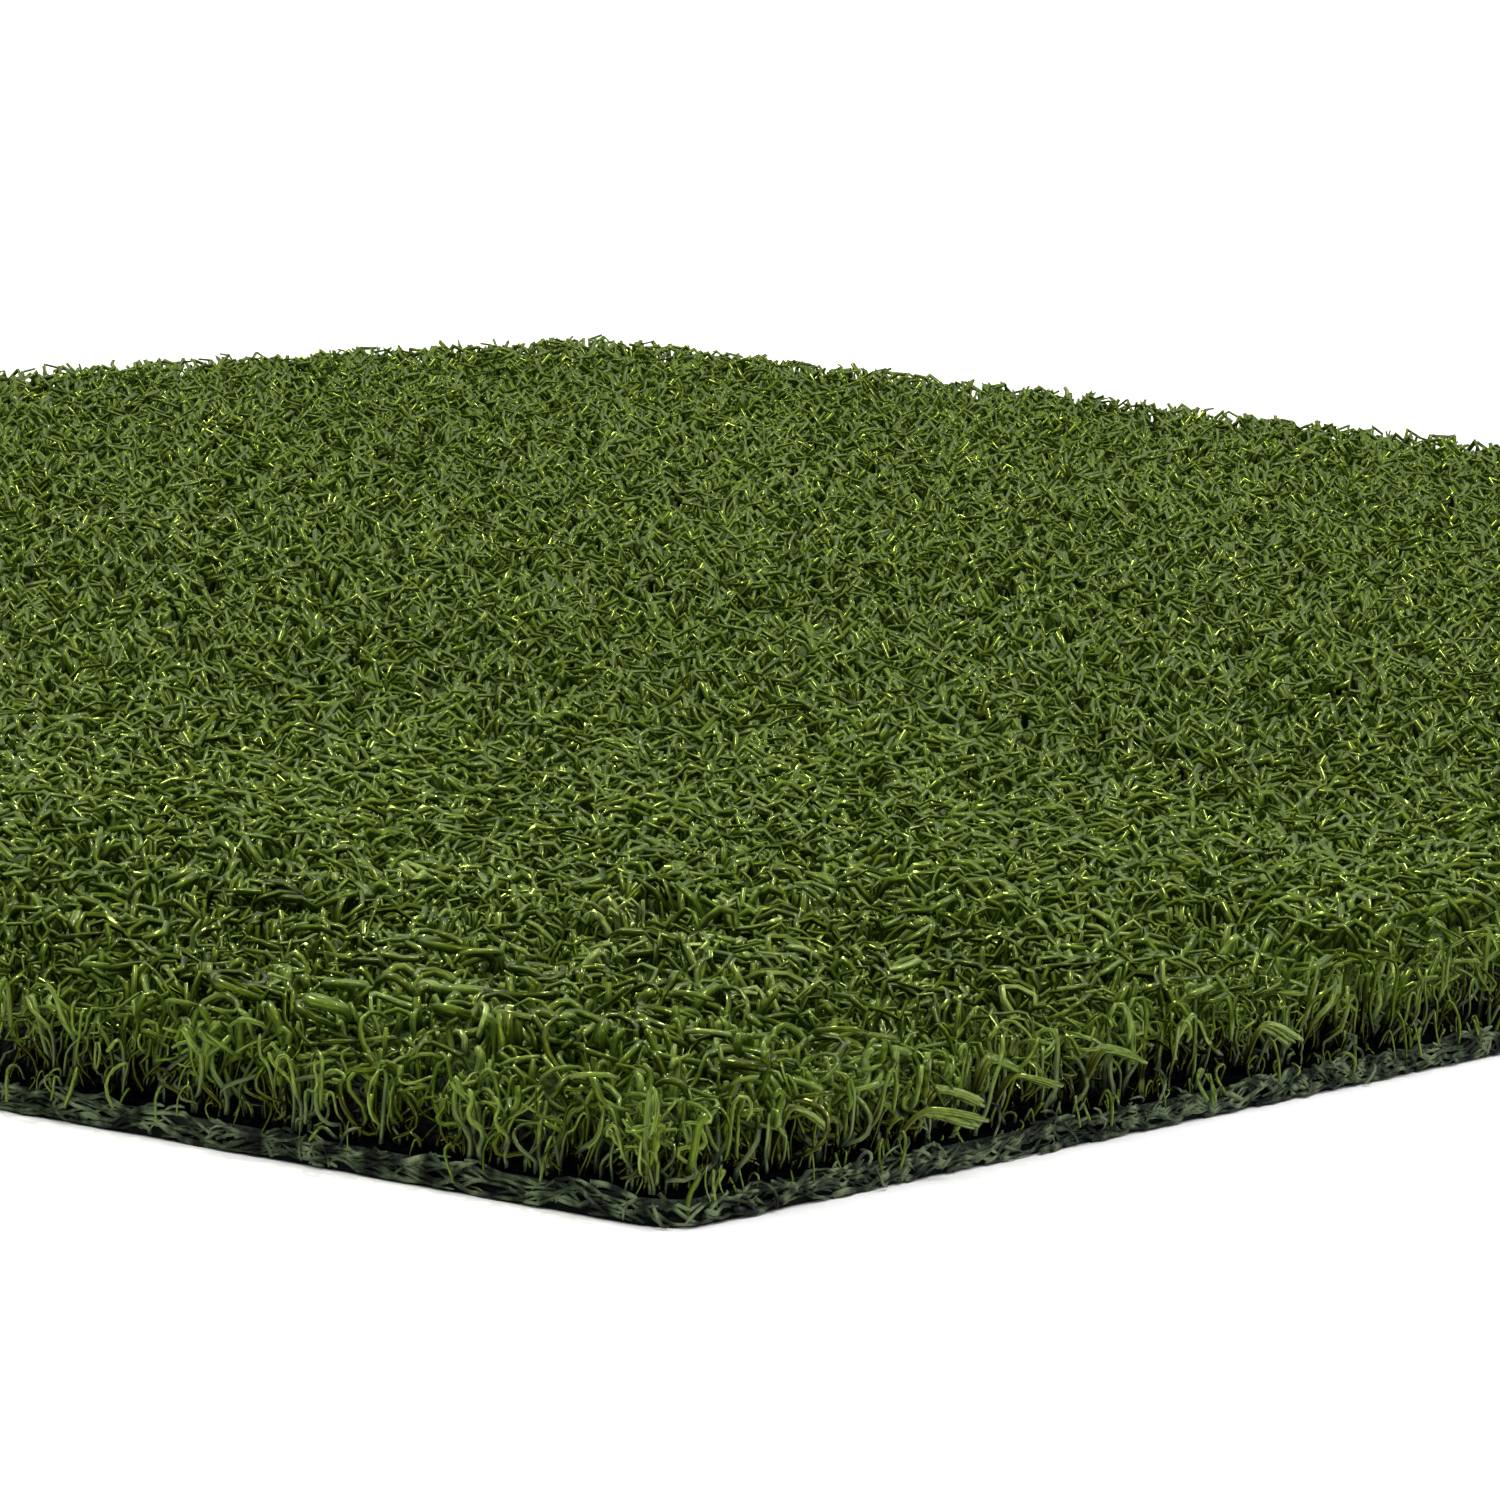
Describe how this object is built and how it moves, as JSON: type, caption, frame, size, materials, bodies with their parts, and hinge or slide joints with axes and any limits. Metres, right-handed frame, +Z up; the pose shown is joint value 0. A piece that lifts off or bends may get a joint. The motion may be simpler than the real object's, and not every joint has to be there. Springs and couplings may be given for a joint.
{
  "type": "golf hitting mat",
  "caption": "Rectangular golf hitting mat: rows of curly olive-green nylon pile tufted through a black woven backing, bonded to a thin rubber base that lies flat on the floor.",
  "frame": {"origin": "centre of the underside, on the floor", "axes": "+X along the tuft rows (the long side), +Y across the rows, +Z up out of the floor, so +Z points the way the pile stands"},
  "size_m": [0.9144, 0.6096, 0.0199],
  "materials": {
    "base_rubber": "matt black rubber, slightly pebbled underside",
    "backing_cloth": "fuzzy grey-green cloth with cut threads",
    "latex": "matt filled latex, grey-green",
    "woven_cloth": "black plain-woven tape cloth, slight sheen",
    "pile_yarn": "olive-green textured nylon filaments, semi-gloss"
  },
  "bodies": {
    "root": {"base_coat": "base_rubber", "secondary_backing": "backing_cloth", "lock_coat": "latex", "primary_backing": "woven_cloth", "tuft_row_01": "pile_yarn", "tuft_row_02": "pile_yarn", "tuft_row_03": "pile_yarn", "tuft_row_04": "pile_yarn", "tuft_row_05": "pile_yarn", "tuft_row_06": "pile_yarn", "tuft_row_07": "pile_yarn", "tuft_row_08": "pile_yarn", "tuft_row_09": "pile_yarn", "tuft_row_10": "pile_yarn", "tuft_row_11": "pile_yarn", "tuft_row_12": "pile_yarn", "tuft_row_13": "pile_yarn", "tuft_row_14": "pile_yarn", "tuft_row_15": "pile_yarn", "tuft_row_16": "pile_yarn", "tuft_row_17": "pile_yarn", "tuft_row_18": "pile_yarn", "tuft_row_19": "pile_yarn", "tuft_row_20": "pile_yarn", "tuft_row_21": "pile_yarn", "tuft_row_22": "pile_yarn", "tuft_row_23": "pile_yarn", "tuft_row_24": "pile_yarn", "tuft_row_25": "pile_yarn", "tuft_row_26": "pile_yarn", "tuft_row_27": "pile_yarn", "tuft_row_28": "pile_yarn", "tuft_row_29": "pile_yarn", "tuft_row_30": "pile_yarn", "tuft_row_31": "pile_yarn", "tuft_row_32": "pile_yarn", "tuft_row_33": "pile_yarn", "tuft_row_34": "pile_yarn", "tuft_row_35": "pile_yarn", "tuft_row_36": "pile_yarn", "tuft_row_37": "pile_yarn", "tuft_row_38": "pile_yarn", "tuft_row_39": "pile_yarn", "tuft_row_40": "pile_yarn", "tuft_row_41": "pile_yarn", "tuft_row_42": "pile_yarn", "tuft_row_43": "pile_yarn", "tuft_row_44": "pile_yarn", "tuft_row_45": "pile_yarn", "tuft_row_46": "pile_yarn", "tuft_row_47": "pile_yarn", "tuft_row_48": "pile_yarn"}
  },
  "joints": []
}
